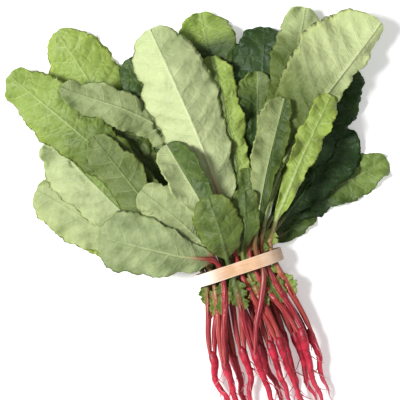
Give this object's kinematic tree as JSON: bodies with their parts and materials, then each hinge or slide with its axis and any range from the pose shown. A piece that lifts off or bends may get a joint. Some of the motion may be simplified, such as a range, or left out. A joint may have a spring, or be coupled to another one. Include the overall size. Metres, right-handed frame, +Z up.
{
  "type": "radish bunch",
  "caption": "Bunch of young slender red radishes with long leaves, tied with a flat rubber band and lying flat.",
  "frame": {"origin": "middle of the flat spot under the rubber band, which is the lowest part of the bunch at the tie", "axes": "+Z up from the surface that the bunch lies on, +Y from the root tails to the leaf tips, +X to the right when the leaves point away"},
  "size_m": [0.2452, 0.291, 0.0421],
  "materials": {
    "rubber_band": "matt tan natural rubber, paler along its edges",
    "leaf": "green leaf blade, pale below and darker above, with pale veins and a red stalk",
    "root_skin": "smooth crimson root skin, washed and slightly glossy"
  },
  "bodies": {
    "root": {"rubber_band": "rubber_band", "radish_01_leaf_1": "leaf", "radish_01_leaf_2": "leaf", "radish_01_root": "root_skin", "radish_02_leaf_1": "leaf", "radish_02_leaf_2": "leaf", "radish_02_leaf_3": "leaf", "radish_02_root": "root_skin", "radish_03_leaf_1": "leaf", "radish_03_leaf_2": "leaf", "radish_03_leaf_3": "leaf", "radish_03_root": "root_skin", "radish_04_leaf_1": "leaf", "radish_04_leaf_2": "leaf", "radish_04_root": "root_skin", "radish_05_leaf_1": "leaf", "radish_05_leaf_2": "leaf", "radish_05_leaf_3": "leaf", "radish_05_root": "root_skin", "radish_06_leaf_1": "leaf", "radish_06_leaf_2": "leaf", "radish_06_leaf_3": "leaf", "radish_06_root": "root_skin", "radish_07_leaf_1": "leaf", "radish_07_leaf_2": "leaf", "radish_07_root": "root_skin", "radish_08_leaf_1": "leaf", "radish_08_leaf_2": "leaf", "radish_08_root": "root_skin", "radish_09_leaf_1": "leaf", "radish_09_leaf_2": "leaf", "radish_09_leaf_3": "leaf", "radish_09_root": "root_skin", "radish_10_leaf_1": "leaf", "radish_10_leaf_2": "leaf", "radish_10_leaf_3": "leaf", "radish_10_leaf_4": "leaf", "radish_10_root": "root_skin", "radish_11_leaf_1": "leaf", "radish_11_leaf_2": "leaf", "radish_11_root": "root_skin", "radish_12_leaf_1": "leaf", "radish_12_leaf_2": "leaf", "radish_12_root": "root_skin"}
  },
  "joints": []
}
